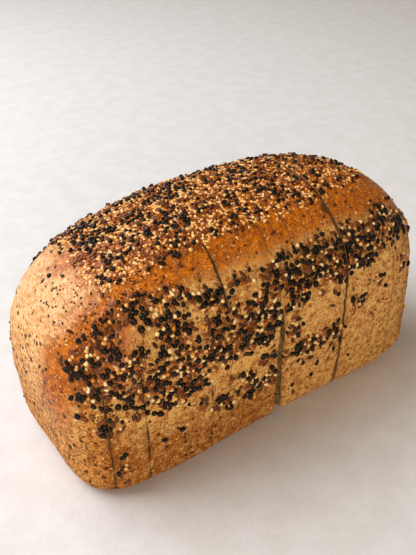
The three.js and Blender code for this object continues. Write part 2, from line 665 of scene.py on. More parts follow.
@dataclass(frozen=True)
class CrustMap:
    """How thickly seeds lie, and how the crust is browned, at each place along and round the loaf, with
    painted shade and painted sheen among its masks.

    A ramp is named for the effect and for the measure that it is climbed over.
    """

    crown_girth: float
    noise: SolidNoise = SolidNoise(23)
    dome_climb: Ramp = (98.0, 113.0)
    corner_side: Ramp = (6.0, 22.0)
    corner_x: Ramp = (-72.0, -88.0)
    corner_climb: Ramp = (60.0, 82.0)
    blush_and_sheen_x: Ramp = (-76.0, -92.0)
    blush_and_sheen_climb: Ramp = (50.0, 98.0)
    crown_left_x: Ramp = (-86.0, -75.0)
    crown_right_x: Ramp = (92.0, 76.0)
    rim_climb: Ramp = (141.0, 134.0)
    rim_x: Ramp = (-40.0, -26.0)
    wall_left_x: Ramp = (-105.5, -99.5)
    wall_right_x: Ramp = (109.5, 104.0)
    back_left_x: Ramp = (-96.0, -80.0)
    dust_left_x: Ramp = (-94.0, -83.0)
    dust_right_x: Ramp = (-30.0, -60.0)
    dust_climb: Ramp = (102.0, 114.0)
    shoulder_climb: Ramp = (78.0, 98.0)
    low_browning_and_shade_climb: Ramp = (52.0, 20.0)
    band_along: tuple[float, ...] = (-106, -80, -62, -48, -38, -25, -10, 0, 25, 45, 64, 80, 96)
    band_top: tuple[float, ...] = (99, 112, 110, 103, 100, 98, 99, 102, 102, 104, 110, 106, 102)
    band_foot: tuple[float, ...] = (60, 50, 49, 52, 58, 60, 64, 72, 76, 77, 82, 84, 86)
    seeded: tuple[Patch, ...] = patches(
        (-36, 34, 7, 4, 0.7, -0.6), (-27, 42, 9, 8, 0.8, -0.2), (-20, 33, 9, 5, 0.8, -0.5),
        (-9, 35, 5, 7, 0.9), (-12, 50, 6, 4, 0.7), (-48, 41, 3, 6, 0.6),
        (20, 45, 20, 5.5, 0.95, 0.06), (5, 60, 4, 10, 0.95), (17, 36, 8, 4, 0.35),
        (36, 36, 3, 4, 0.4), (47, 58, 5, 5, 0.6), (32, 66, 6, 4, 0.4), (62, 67, 6, 4, 0.55),
        (84, 68, 3, 7, 0.6), (-92, 47, 6, 6, 0.6), (-90, 22, 3, 6, 0.4), (-63, 62, 14, 14, 1.0),
        (-62, 97, 9, 13, 1.0), (-40, 72, 12, 9, 0.85), (-18, 73, 16, 9, 0.8), (-33, 92, 5, 8, 0.8),
        (4, 88, 6, 14, 0.95), (22, 90, 18, 9, 0.8), (44, 92, 9, 11, 0.85), (62, 91, 12, 9, 0.7),
        (73, 104, 7, 6, 0.85), (-92, 92, 9, 10, 0.8), (-86, 72, 7, 9, 0.7),
    )
    bare: tuple[Patch, ...] = patches(
        (-78, 92, 4.5, 7, 0.85), (-48, 91, 3.5, 6, 0.75), (-20, 92, 8, 4, 0.9), (-28, 42, 5, 4, 0.8),
        (-34, 56, 16, 3, 0.7), (22, 64, 15, 7, 0.85), (-50, 78, 3, 3, 0.5), (-4, 83, 3, 3, 0.5),
    )
    charred: tuple[Patch, ...] = patches(
        (37.5, 114.5, 2.2, 3.4, 0.95), (38.0, 107.0, 1.0, 7.0, 0.7), (36.0, 121.0, 1.0, 5.0, 0.6)
    )

    def spots(self, points: Array, girths: Array) -> Spots:
        """The places as this map reads them."""
        return Spots(points, girths, self.crown_girth)

    def frayed(self, spots: Spots, strength: float, size: float, shift: float = 0.0) -> Array:
        """Layered noise, strength high and size wide, that frays an edge."""
        return strength * self.noise.layered(spots.points + shift, size, 3)

    def dome(self, spots: Spots) -> Array:
        """1 on the browned dome and 0 on the walls, with a ragged edge."""
        return smooth_step(spots.climb + self.frayed(spots, 3.0, 13.0), *self.dome_climb)

    def corner(self, spots: Spots) -> Array:
        """The upright edges beside the left end wall, darkened partly as browned crust and partly as painted
        shade, the back one narrower than the front one.

        They run from the dome down, and widen as they climb.

        Args:
            spots: Places on the crust.

        Returns:
            1 on the edges and 0 elsewhere.
        """
        ragged = self.frayed(spots, 4.0, 12.0, 5.0) - 0.25 * (spots.z - 70.0)
        aside = np.maximum(-spots.y, spots.y - 14.0)
        side = smooth_step(aside + ragged, *self.corner_side) * smooth_step(spots.x + ragged, *self.corner_x)
        return side * smooth_step(spots.climb, *self.corner_climb)

    def browned(self, spots: Spots) -> Array:
        """How deeply the crust is browned, the dome and the left corners together, the corners partly painted
        shade.
        """
        return np.maximum(self.dome(spots), self.corner(spots))

    def crown_seeds(self, spots: Spots) -> Array:
        """How thickly the crown is seeded: most in the middle, thinner to the right.

        Args:
            spots: Places on the crust.

        Returns:
            Thickness from 0 to 1.
        """
        x = spots.x
        ragged = self.frayed(spots, 4.0, 11.0, 3.0)
        half = 30.0 - 9.0 * smooth_step(x, 35.0, 80.0) + 3.0 * smooth_step(x, -60.0, -85.0)
        inside = smooth_step(spots.from_crown + ragged - half, 6.0, -5.0)
        ends = smooth_step(x + ragged, *self.crown_left_x) * smooth_step(x + ragged, *self.crown_right_x)
        return inside * ends * (1.0 - 0.25 * smooth_step(x, -20.0, 20.0) - 0.25 * smooth_step(x, 30.0, 62.0))

    def pale_rim(self, spots: Spots) -> Array:
        """1 along the lower rim of the crown's seeds, where the pale ones gathered."""
        clump = smooth_step(self.noise.layered(spots.points + 71.0, 18.0, 2), -0.25, 0.15)
        return clump * smooth_step(spots.climb, *self.rim_climb) * smooth_step(spots.x, *self.rim_x)

    def wall_seeds(self, spots: Spots) -> Array:
        """How thickly the walls are seeded: a wavy band, lower patches, and a few bare spots in it.

        At the back, the band stops short of the left end.

        Args:
            spots: Places on the crust.

        Returns:
            Thickness from 0 to 1.
        """
        along, climb = spots.along, spots.climb
        ragged = self.frayed(spots, 4.5, 10.0, 17.0)
        top = np.interp(along, self.band_along, self.band_top)
        foot = np.interp(along, self.band_along, self.band_foot)
        band = smooth_step(climb + ragged - top, 2.5, -2.5) * smooth_step(climb + ragged - foot, -3.0, 3.0)
        band *= 0.3 + 0.7 * smooth_step(self.noise.layered(spots.points + 50.0, 9.0, 2), -0.3, 0.2)
        for patch in self.seeded:
            band = np.maximum(band, patch.at(along + 0.4 * ragged, climb + 0.6 * ragged))
        for patch in self.bare:
            band *= 1.0 - patch.at(along - 0.4 * ragged, climb + 0.6 * ragged)
        band *= np.where(spots.behind, smooth_step(spots.x, *self.back_left_x), 1.0)
        band *= smooth_step(spots.x + 0.3 * ragged, *self.wall_left_x)
        return np.clip(band, 0.0, 1.0) * smooth_step(spots.x, *self.wall_right_x)

    def dust(self, spots: Spots) -> Array:
        """How thickly the tiny poppy seeds lie: most about the left edge of the crown's seeds.

        Args:
            spots: Places on the crust.

        Returns:
            Thickness from 0 to about 1.
        """
        left = smooth_step(spots.x, *self.dust_left_x) * smooth_step(spots.x, *self.dust_right_x)
        left *= smooth_step(spots.climb, *self.dust_climb)
        shoulder = smooth_step(np.abs(spots.x + 89.0), 15.0, 2.0)
        shoulder *= smooth_step(spots.climb, *self.shoulder_climb)
        return np.maximum(left, shoulder) * ~spots.behind + 0.02

    def blush_and_sheen(self, spots: Spots) -> Array:
        """How pale the left shoulder is, apart from its corners: partly a pale crust, partly painted sheen.

        Args:
            spots: Places on the crust.

        Returns:
            1 on the shoulder and 0 elsewhere.
        """
        ragged = self.frayed(spots, 8.0, 14.0)
        shoulder = smooth_step(spots.x + ragged, *self.blush_and_sheen_x)
        return shoulder * smooth_step(spots.climb + ragged, *self.blush_and_sheen_climb) * (1.0 - self.corner(spots))

    def char(self, spots: Spots) -> Array:
        """How dark the few caramelised spots are."""
        return np.maximum.reduce([patch.at(spots.along, spots.climb) for patch in self.charred])

    def low_browning_and_shade(self, spots: Spots) -> Array:
        """How dark the low walls are, most at the left foot: partly a browner crust, partly painted shade."""
        left = (0.25 + 0.75 * smooth_step(spots.along, 8.0, -8.0)) * smooth_step(spots.along, -112.0, -84.0)
        return left * smooth_step(spots.climb + self.frayed(spots, 6.0, 22.0), *self.low_browning_and_shade_climb)


# Seeds


class SeedKind(Enum):
    """The seeds baked into the crust: length, width and thickness, and how pointed the seed is."""

    BLACK = (3.4, 3.0, 2.3, 0.2)
    LINSEED = (4.4, 2.5, 1.6, 0.25)
    MILLET = (2.1, 2.0, 1.9, 0.0)
    SESAME = (3.0, 2.0, 1.1, 0.35)
    TOASTED = (2.9, 2.1, 1.5, 0.2)
    POPPY = (1.5, 0.95, 0.9, 0.0)

    def __init__(self, length: float, width: float, depth: float, point: float) -> None:
        """Keeps the seed's sizes in millimetres."""
        self.length, self.width, self.depth, self.point = length, width, depth, point

    @property
    def radius(self) -> float:
        """Half the mean of length and width, the room that a seed takes."""
        return (self.length + self.width) / 4

    def template(self) -> tuple[Array, list[list[int]]]:
        """One seed about the origin, its length along x and its flat side along z.

        The section at polar angle t is an ellipse of size sin(t), narrowed towards one end by the factor
        1 - point * (1 + cos(t)) / 2, which gives the tear shape.

        Returns:
            Its points, one row each, and its faces.
        """
        rings, around = (3, 5) if self is SeedKind.POPPY else (5, 8)
        polar = np.linspace(0.0, math.pi, rings + 2)[1:-1, None]
        turn = np.linspace(0.0, 2 * math.pi, around, endpoint=False)[None, :]
        taper = 1.0 - self.point * (1.0 + np.cos(polar)) / 2
        x = np.broadcast_to(np.cos(polar), (rings, around)) * self.length / 2
        y = np.sin(polar) * taper * np.cos(turn) * self.width / 2
        z = np.sin(polar) * taper * np.sin(turn) * self.depth / 2
        grid = np.stack([x, y, z], axis=-1).reshape(-1, 3)
        tip, tail = [self.length / 2, 0, 0], [-self.length / 2, 0, 0]
        number = 1 + np.arange(rings * around).reshape(rings, around)
        after = np.roll(number, -1, axis=1)
        last = rings * around + 1
        squares = np.stack([number[:-1], number[1:], after[1:], after[:-1]], axis=-1).reshape(-1, 4)
        first_fan = np.stack([np.zeros(around, int), number[0], after[0]], axis=-1)
        last_fan = np.stack([after[-1], number[-1], np.full(around, last)], axis=-1)
        faces = squares.tolist() + first_fan.tolist() + last_fan.tolist()
        return np.concatenate([[tip], grid, [tail]]), faces


@dataclass
class Seeds:
    """Seeds found a place for: where each stands, which way it lies, and its kind."""

    points: Array
    normals: Array
    kinds: Array
    bakes: Array
    rng: np.random.Generator
    growth: tuple[float, float] = (0.74, 1.14)  # least and most size of a whole seed
    stretch: tuple[float, float] = (0.84, 1.14)  # and of each of its three measures
    standing: tuple[float, float] = (0.05, 0.42)  # how far its middle stands out, in thicknesses

    def mesh(self, name: str, trim: Callable[[Array], Array]) -> bpy.types.Mesh:
        """Turns every seed into its shape, half sunk in the crust, and joins them in one mesh.

        Args:
            name: The mesh's name.
            trim: Cuts points back to the slice's cuts.

        Returns:
            The mesh, in metres, with one finish for each kind of seed and a random tone for each seed.
        """
        rows, faces, slots, tones, bakes = [], [], [], [], []
        start = 0
        for index, kind in enumerate(SeedKind):
            chosen = self.kinds == index
            count = int(chosen.sum())
            shape, shape_faces = kind.template()
            placed = self.placed(shape, chosen, kind)
            rows.append(placed.reshape(-1, 3))
            shifts = start + np.arange(count) * len(shape)
            for face in shape_faces:
                faces += (shifts[:, None] + np.array(face)).tolist()
                slots += [index] * count
            tones.append(np.repeat(self.rng.random(count), len(shape)))
            bakes.append(np.repeat(self.bakes[chosen], len(shape)))
            start += count * len(shape)
        mesh = new_mesh(name, trim(np.concatenate(rows)), faces, slots)
        put_values(mesh, {"tone": np.concatenate(tones), "bake": np.concatenate(bakes)})
        return mesh

    def placed(self, shape: Array, chosen: Array, kind: SeedKind) -> Array:
        """Copies of a seed, each turned, tilted, scaled and sunk at its place, smaller on the crown.

        Args:
            shape: The seed's points about the origin.
            chosen: True for each place that takes this kind of seed.
            kind: The kind of seed, for its thickness.

        Returns:
            The copies' points, one seed in each row.
        """
        points, normals, bakes = self.points[chosen], self.normals[chosen], self.bakes[chosen]
        count = len(points)
        tilt = 0.18 + 0.14 * bakes[:, None]
        up = unit(normals + tilt * self.rng.normal(size=(count, 3)))
        side = unit(np.cross(up, self.rng.normal(size=(count, 3))))
        ahead = np.cross(side, up)
        scale = self.rng.uniform(*self.growth, (count, 1, 1)) - 0.22 * bakes[:, None, None]
        scale = scale * self.rng.uniform(*self.stretch, (count, 1, 3))
        lift = kind.depth * self.rng.uniform(*self.standing, (count, 1, 1))
        local = shape[None] * scale
        turned = local[..., :1] * ahead[:, None] + local[..., 1:2] * side[:, None]
        turned += (local[..., 2:] + lift) * up[:, None]
        return turned + points[:, None]


@dataclass(frozen=True)
class Sowing:
    """Scatters seeds over a slice's crust, as thickly as the crust map says, with none on another."""

    crust: CrustMap
    wall_mix: tuple[float, ...] = (0.39, 0.23, 0.15, 0.02, 0.21, 0.0)
    crown_mix: tuple[float, ...] = (0.24, 0.12, 0.07, 0.31, 0.26, 0.0)
    rim_mix: tuple[float, ...] = (0.19, 0.12, 0.12, 0.32, 0.25, 0.0)
    wall_thickness: float = 0.72
    crown_thickness: float = 1.2
    dust_thickness: float = 0.11
    stray: float = 0.003
    stray_x: Ramp = (108.0, 94.0)
    gather: float = 0.35
    packing: float = 0.5
    singles: tuple[tuple[float, float], ...] = ((-99, 125), (-92, 145), (-87, 158), (-96, 113), (-60, 119))

    def sow(self, points: Array, normals: Array, areas: Array, girths: Array, seed: int) -> Seeds:
        """Chooses places and kinds, like kinds gathered, and drops seeds that would lie on earlier ones.

        Args:
            points: Places on the crust that a seed may take.
            normals: The outward normals there.
            areas: The area that each place stands for.
            girths: The places' girths.
            seed: Number that the random choices start from.

        Returns:
            The seeds.
        """
        rng = np.random.default_rng(seed)
        spots = self.crust.spots(points, girths)
        wall, crown = self.crust.wall_seeds(spots), self.crust.crown_seeds(spots)
        dome = self.crust.dome(spots)
        seeded = self.wall_thickness * wall**1.6 + self.crown_thickness * crown**2
        seeded += self.stray * smooth_step(np.abs(spots.x), *self.stray_x)
        under = normals[:, 2] < -0.4
        seeded = np.where(under, 0.0, seeded)
        dusted = np.where(under, 0.0, self.dust_thickness * (self.crust.dust(spots) + 0.3 * wall))
        chance = rng.random(len(points))
        is_single = np.zeros(len(points), bool)
        for along, girth in self.singles:
            gap = np.hypot(spots.x - along, girths - girth)
            is_single[gap.argmin()] |= gap.min() < 1.0
        is_seed = is_single | (chance < seeded * areas)
        is_dust = ~is_seed & (chance > 1.0 - dusted * areas)
        chosen = np.nonzero(is_seed | is_dust)[0]
        rng.shuffle(chosen)
        on_rim = self.crust.pale_rim(spots)[chosen] > rng.random(len(chosen))
        row = np.where((crown > wall)[chosen], np.where(on_rim, 2, 1), 0)
        mix = np.array([self.wall_mix, self.crown_mix, self.rim_mix])[row]
        draw = rng.random(len(chosen)) + self.gather * self.crust.noise.layered(points[chosen] + 90.0, 8.0, 2)
        kinds = (draw[:, None] > np.cumsum(mix, axis=-1)).sum(axis=-1)
        kinds = np.where(is_dust[chosen], len(SeedKind) - 1, np.minimum(kinds, len(SeedKind) - 2))
        kinds = np.where(is_single[chosen], list(SeedKind).index(SeedKind.LINSEED), kinds)
        radii = np.array([kind.radius for kind in SeedKind])[kinds]
        radii *= 1.0 - 0.16 * dome[chosen]
        kept = self.apart(points[chosen], radii)
        chosen, kinds = chosen[kept], kinds[kept]
        return Seeds(points[chosen], normals[chosen], kinds, dome[chosen], rng)

    def apart(self, points: Array, radii: Array) -> Array:
        """Keeps each seed that no earlier kept seed touches, settled in rounds over the whole table.

        Args:
            points: The seeds' places, the earlier ones first.
            radii: The room that each seed takes.

        Returns:
            True for each seed that stays.
        """
        gaps = np.linalg.norm(points[:, None] - points[None], axis=-1)
        touching = gaps < self.packing * (radii[:, None] + radii[None])
        earlier = np.tril(touching, -1)
        open_ones = np.ones(len(points), bool)
        kept = np.zeros(len(points), bool)
        while open_ones.any():
            free = open_ones & ~(earlier & (open_ones | kept)[None]).any(axis=-1)
            kept |= free
            open_ones &= ~free & ~(touching & kept[None]).any(axis=-1)
        return kept


# Slices


class Finish(Enum):
    """The two finishes of a slice's skin, by their place in its list of materials."""

    CRUST = 0
    CRUMB = 1


@dataclass
class Slice:
    """One slice, or a heel where one of its cuts is missing: its skin of crust and crumb, and its seeds."""

    node: str
    shape: TinShape
    girth: Girth
    relief: Relief
    crust: CrustMap
    sowing: Sowing
    left: Cut | None
    right: Cut | None
    slip: float
    number: int
    step: float = 0.66
    face_step: float = 1.4
    collar: float = 0.3
    collar_width: float = 0.7
    least_collared: float = 0.8  # radius of the smallest seed that the crust rises against
    heel_x: Ramp = (80.0, 98.0)
    heel_z: Ramp = (98.0, 74.0)

    def walls(self, shares: Array, angles: Array) -> Array:
        """Points on the smooth skin between the two cuts.

        The ring at share s lies on x = (1 - s) * left cut + s * right cut. The cuts depend on y and z,
        so the rings are settled by going round three times: x from y and z, then y and z from x.

        Args:
            shares: Each ring's place between the cuts, from 0 to 1.
            angles: The directions about the loaf's axis.

        Returns:
            The points, by ring and direction.
        """
        share, angle = np.meshgrid(shares, angles, indexing="ij")
        rays = np.stack([0 * angle, np.cos(angle), np.sin(angle)], axis=-1)
        points = 40.0 * rays + np.array([0.0, 0.0, self.shape.rim])
        for _ in range(3):
            y, z = points[..., 1], points[..., 2]
            x = (1.0 - share) * self.left.right_side(y, z) + share * self.right.left_side(y, z)
            origins = np.stack([x, 0 * x, 0 * x + self.shape.rim], axis=-1)
            points = self.shape.skin(origins, rays)
        return points

    def cap(self, angles: Array) -> list[Array]:
        """Rings of points on the smooth skin from the heel's cut to the middle of its end wall.

        The rings are evenly spaced along a path that runs out along the walls and in over the end wall.
        A ray from the middle of the cut meets the walls at the angle atan(path / radius) and the end
        wall at the angle atan(depth / radius left).

        Args:
            angles: The directions about the loaf's axis.

        Returns:
            The rings, the one on the cut first, and the single end point last.
        """
        cut = self.left or self.right
        toward = 1.0 if self.right is None else -1.0
        centre = np.array([cut.place, 0.0, self.shape.rim])
        depth = self.shape.length / 2 - abs(cut.place)
        flat = np.stack([cut.skew * np.cos(angles), np.cos(angles), np.sin(angles)], axis=-1)
        radius = np.linalg.norm(self.shape.skin(centre, flat) - centre, axis=-1)
        paths = np.arange(0.0, 1.0, self.step / (depth + radius.mean()))
        spread = 1.0 - np.maximum(paths - depth / (depth + radius.mean()), 0.0) * (1 + depth / radius.mean())
        rings = []
        for path, size in zip(paths, ring_sizes(spread, len(angles))):
            every = len(angles) // size
            run = path * (depth + radius[::every])
            over_end = np.maximum(run - depth, 0.0)
            lean = np.arctan2(np.minimum(run, depth), radius[::every] - over_end)[:, None]
            ray = np.cos(lean) * flat[::every] + np.sin(lean) * np.array([toward, 0.0, 0.0])
            rings.append(self.shape.skin(centre, ray))
        end = self.shape.skin(centre, np.array([[toward, 0.0, 0.0]]))
        return [*rings, end]

    def baked(self, points: Array, girths: Array) -> tuple[Array, Array]:
        """Raises the smooth skin to its baked relief, and keeps the underside flat on z = 0.

        Args:
            points: Points on the smooth skin.
            girths: Their girths.

        Returns:
            The raised points and their outward normals.
        """
        normals = self.shape.normals(points)
        height = self.relief.crust(points, self.crust.dome(self.crust.spots(points, girths)))
        under = normals[..., 2] < -0.9
        height = np.where(under, -0.25 * np.abs(height), height)
        height *= 0.35 + 0.65 * smooth_step(points[..., 2], 0.0, 12.0)
        x, y, z = points[..., 0], points[..., 1], points[..., 2]
        if self.left:
            height = height - self.left.rounding(x - self.left.right_side(y, z), z)
        if self.right:
            height = height - self.right.rounding(self.right.left_side(y, z) - x, z)
        raised = points + normals * height[..., None]
        raised[..., 2] = np.maximum(raised[..., 2], 0.0)
        raised[..., 1] += self.slip
        return raised, normals

    def face(self, rim: Array, inward: float) -> list[tuple[Array, float]]:
        """Rings of a cut face, from just inside its rim to its middle, sunk into the open crumb.

        Args:
            rim: The points round the face.
            inward: 1 where the slice lies to the right of this face, and -1 to its left.

        Returns:
            The rings and how near each is to the crust, with the single middle point last.
        """
        centre = np.array([rim[:, 0].mean(), self.slip, self.shape.rim])
        near = np.array([0.995, 0.985, 0.97, 0.95])
        sizes = np.concatenate([near, np.arange(0.925, 0.02, -self.face_step / 52.0)])
        rings = []
        for size, count in zip(sizes, ring_sizes(sizes, len(rim))):
            flat = centre + (thinned(rim, count) - centre) * size
            depth = self.relief.crumb(flat) * smooth_step(np.full(len(flat), size), 1.0, 0.96)
            rings.append((flat + depth[:, None] * np.array([inward, 0.0, 0.0]), (size - 0.93) / 0.07))
        return [(ring, max(rind, 0.0)) for ring, rind in rings] + [(centre[None], 0.0)]

    def shares(self) -> Array:
        """Ring places between the cuts: close together at the cut edges, then evenly spaced.

        Returns:
            Shares of the way from the left cut to the right one.
        """
        width = self.right.place - self.left.place
        edge = np.array([0.0, 0.12, 0.32]) / width
        count = max(int(round((width - 1.4) / self.step)), 4)
        inner = np.linspace(0.7 / width, 1.0 - 0.7 / width, count)
        return np.concatenate([edge, inner, 1.0 - edge[::-1]])

    def crust_rings(self, angles: Array) -> list[Array]:
        """Rings of points on the smooth skin from left to right.

        Args:
            angles: The directions about the loaf's axis.

        Returns:
            The rings, with a single point at the end of a heel.
        """
        if self.left and self.right:
            return list(self.walls(self.shares(), angles))
        rings = self.cap(angles)
        return rings if self.left else rings[::-1]

    def trimmed(self, points: Array) -> Array:
        """Cuts points back to the slice's own side of its cuts, as the saw did to the seeds.

        Args:
            points: The seeds' points.

        Returns:
            The points, moved along the loaf where they reached too far.
        """
        x, y, z = points[..., 0], points[..., 1] - self.slip, points[..., 2]
        if self.left:
            x = np.maximum(x, self.left.right_side(y, z) - self.left.overhang(z))
        if self.right:
            x = np.minimum(x, self.right.left_side(y, z) + self.right.overhang(z))
        return np.stack([x, points[..., 1], points[..., 2]], axis=-1)

    def sown(self, rings: list[Array], normals: list[Array], girths: Array) -> Seeds:
        """Sows the slice's crust.

        Args:
            rings: The crust's baked rings.
            normals: Their normals.
            girths: The girth of every step of a full ring.

        Returns:
            The seeds.
        """
        areas, places = [], []
        for index, ring in enumerate(rings):
            before, after = rings[max(index - 1, 0)], rings[min(index + 1, len(rings) - 1)]
            around = np.linalg.norm(np.roll(ring, -1, axis=0) - ring, axis=-1)
            areas.append(around * (ring_gap(ring, before) + ring_gap(ring, after)) / 2)
            places.append(thinned(girths, len(ring)))
        points, outward = np.concatenate(rings), np.concatenate(normals)
        rng = np.random.default_rng(500 + self.number)
        nudge = rng.uniform(-0.35, 0.35, points.shape)
        nudge -= outward * np.sum(nudge * outward, axis=-1, keepdims=True)
        sowing = self.sowing
        return sowing.sow(points + nudge, outward, np.concatenate(areas), np.concatenate(places), self.number)

    def nested(self, rings: list[Array], normals: list[Array], seeds: Seeds) -> list[Array]:
        """Raises the crust in a soft collar against each seed, collar * exp(-(d / collar_width)^2) at d.

        Args:
            rings: The crust's baked rings.
            normals: Their normals.
            seeds: The slice's seeds.

        Returns:
            The raised rings.
        """
        radii = np.array([kind.radius for kind in SeedKind])[seeds.kinds]
        large = radii > self.least_collared
        places, radii = seeds.points[large], radii[large]
        raised = []
        for ring, outward in zip(rings, normals):
            gaps = np.linalg.norm(ring[:, None] - places[None], axis=-1) - 0.85 * radii[None]
            gap = np.maximum(gaps.min(axis=-1), 0.0) if len(places) else np.full(len(ring), 9.0)
            collar = self.collar * np.exp(-((gap / self.collar_width) ** 2)) * (ring[:, 2] > 1.0)
            raised.append(ring + outward * collar[:, None])
        return raised

    def mark(self, mesh: bpy.types.Mesh, skin: RingSkin) -> None:
        """Stores on the mesh how browned, pale, dark low down, seeded and near a gaping cut each point's
        crust is; some of these masks carry painted shade and painted sheen.

        Args:
            mesh: The slice's skin.
            skin: The rings that it was made from.
        """
        crust = self.crust
        spots = crust.spots(np.concatenate(skin.rings), np.concatenate(skin.girths))
        heel = smooth_step(np.abs(spots.x), *self.heel_x) * smooth_step(spots.z, *self.heel_z)
        # edge: the caramelised spots, and painted shade along gaping cuts.
        edge = crust.char(spots)
        for cut in filter(None, (self.left, self.right)):
            gape = smooth_step(cut.half_gape(spots.z), 0.05, 0.3)
            gap = np.abs(spots.x - cut.middle(spots.y - self.slip, spots.z))
            edge = np.maximum(edge, gape * np.exp(-gap / 0.7))
        values = {
            # bake: the browned dome, and the left corners, which are partly painted shade
            "bake": crust.browned(spots),
            "blush_and_sheen": crust.blush_and_sheen(spots),
            "low_browning_and_shade": crust.low_browning_and_shade(spots),
            # seeded: how thickly seeded; the crust finish darkens it, partly as painted shade
            "seeded": np.maximum(crust.wall_seeds(spots), 0.4 * crust.crown_seeds(spots) ** 2),
            "end": 1.0 - spots.on_side,
            "heel": heel * spots.on_side,
            "edge": edge,
        }
        put_values(mesh, values)

    def build(self) -> list[bpy.types.Object]:
        """Makes the slice's skin and its seeds.

        Returns:
            The two pieces.
        """
        angles, girths = self.girth.turned()
        smooth = self.crust_rings(angles)
        rings, normals = zip(*(self.baked(ring, thinned(girths, len(ring))) for ring in smooth))
        seeds = self.sown(rings, normals, girths)
        rings = self.nested(rings, normals, seeds)
        skin = RingSkin()
        if self.left:
            for ring, rind in self.face(rings[0], 1.0)[::-1]:
                skin.add(ring, girths, rind, Finish.CRUMB.value)
        for index, ring in enumerate(rings):
            first_after_face = index == 0 and self.left is not None
            skin.add(ring, girths, 1.0, (Finish.CRUMB if first_after_face else Finish.CRUST).value)
        if self.right:
            for ring, rind in self.face(rings[-1], -1.0):
                skin.add(ring, girths, rind, Finish.CRUMB.value)
        bread = put_in_scene(skin.mesh(f"{self.node}_bread"))
        self.mark(bread.data, skin)
        grains = put_in_scene(seeds.mesh(f"{self.node}_seeds", self.trimmed))
        for piece in (bread, grains):
            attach(piece, "root")
        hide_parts(self.node)
        return [bread, grains]


# Finishes

Colour = tuple[float, float, float, float]
Tints = tuple[Colour, Colour]  # the dark and the light colour that a mottled surface lies between
Socket = bpy.types.NodeSocket
Tree = bpy.types.NodeTree


def tone(red: int, green: int, blue: int) -> Colour:
    """A colour as painters name it, turned to the linear values that shaders use.

    Args:
        red: Red, from 0 to 255.
        green: Green.
        blue: Blue.

    Returns:
        The four linear values, the last one opaque.
    """
    parts = (channel / 255 for channel in (red, green, blue))
    linear = [part / 12.92 if part <= 0.04045 else ((part + 0.055) / 1.055) ** 2.4 for part in parts]
    return (linear[0], linear[1], linear[2], 1.0)


class Canvas:
    """Adds nodes to a shader tree and joins them. A value given to a node may be another's output."""

    def __init__(self, tree: Tree) -> None:
        """Takes the tree to draw in."""
        self.tree = tree

    def node(self, kind: str, inputs: dict[str | int, object], **settings: object) -> bpy.types.Node:
        """Adds one node.

        Args:
            kind: The node's type name.
            inputs: Values or outputs for its inputs, by name or number.
            **settings: The node's own properties.

        Returns:
            The node.
        """
        made = self.tree.nodes.new(kind)
        for name, value in settings.items():
            setattr(made, name, value)
        self.fill(made, inputs)
        return made

    def fill(self, made: bpy.types.Node, inputs: dict[str | int, object]) -> None:
        """Gives a node's inputs their values.

        Args:
            made: The node.
            inputs: Values or other nodes' outputs, by name or number.
        """
        for key, value in inputs.items():
            if isinstance(value, Socket):
                self.tree.links.new(value, made.inputs[key])
            else:
                made.inputs[key].default_value = value

    def place(self) -> Socket:
        """The object's own coordinates, in metres."""
        return self.node("ShaderNodeTexCoord", {}).outputs["Object"]

    def stored(self, name: str) -> Socket:
        """A number stored on the mesh."""
        return self.node("ShaderNodeAttribute", {}, attribute_name=name).outputs["Fac"]

    def noise(self, size: float, detail: float = 2.0, rough: float = 0.55) -> Socket:
        """Noise from 0 to 1 whose lumps are about size millimetres across."""
        inputs = {"Vector": self.place(), "Scale": 1 / (size * MM), "Detail": detail, "Roughness": rough}
        return self.node("ShaderNodeTexNoise", inputs).outputs["Fac"]

    def sums(self, operation: str, first: object, second: object = 0.0) -> Socket:
        """Arithmetic on two numbers, by Blender's name for the operation."""
        return self.node("ShaderNodeMath", {0: first, 1: second}, operation=operation).outputs[0]

    def span(
        self, value: object, low: float, high: float, start: float = 0.0, end: float = 1.0
    ) -> Socket:
        """Maps low..high to start..end smoothly, and holds the ends."""
        inputs = {"Value": value, "From Min": low, "From Max": high, "To Min": start, "To Max": end}
        return self.node("ShaderNodeMapRange", inputs, interpolation_type="SMOOTHSTEP").outputs[0]

    def mix(self, share: object, first: object, second: object) -> Socket:
        """A colour between two colours."""
        return self.node("ShaderNodeMix", {0: share, 6: first, 7: second}, data_type="RGBA").outputs[2]

    def over(self, colour: object, paint: object, mask: object, strength: object = 1.0) -> Socket:
        """The colour with paint over it, where the mask is and as strongly as it says."""
        return self.mix(self.sums("MULTIPLY", mask, strength), colour, paint)

    def bump(self, height: object, strength: float, distance: float) -> Socket:
        """Normals that follow a height, distance metres deep."""
        inputs = {"Height": height, "Strength": strength, "Distance": distance}
        return self.node("ShaderNodeBump", inputs).outputs["Normal"]

    def group(self, tree: Tree, inputs: dict[str, object]) -> bpy.types.Node:
        """Places a shared effect in this tree, with its own values and this object's coordinates."""
        return self.node("ShaderNodeGroup", {**inputs, "Vector": self.place()}, node_tree=tree)


def new_effect(name: str, inputs: dict[str, float], outputs: tuple[str, ...]) -> tuple[Tree, Canvas]:
    """Starts a shared effect.

    Args:
        name: The effect's name.
        inputs: Its numbers and what they start at. Every effect also takes a place, as Vector.
        outputs: The names of its masks.

    Returns:
        The effect's node tree, and a canvas to draw in it.
    """
    tree = bpy.data.node_groups.new(name, "ShaderNodeTree")
    tree.interface.new_socket(name="Vector", in_out="INPUT", socket_type="NodeSocketVector")
    for key, value in inputs.items():
        socket = tree.interface.new_socket(name=key, in_out="INPUT", socket_type="NodeSocketFloat")
        socket.default_value = value
    for key in outputs:
        tree.interface.new_socket(name=key, in_out="OUTPUT", socket_type="NodeSocketFloat")
    return tree, Canvas(tree)


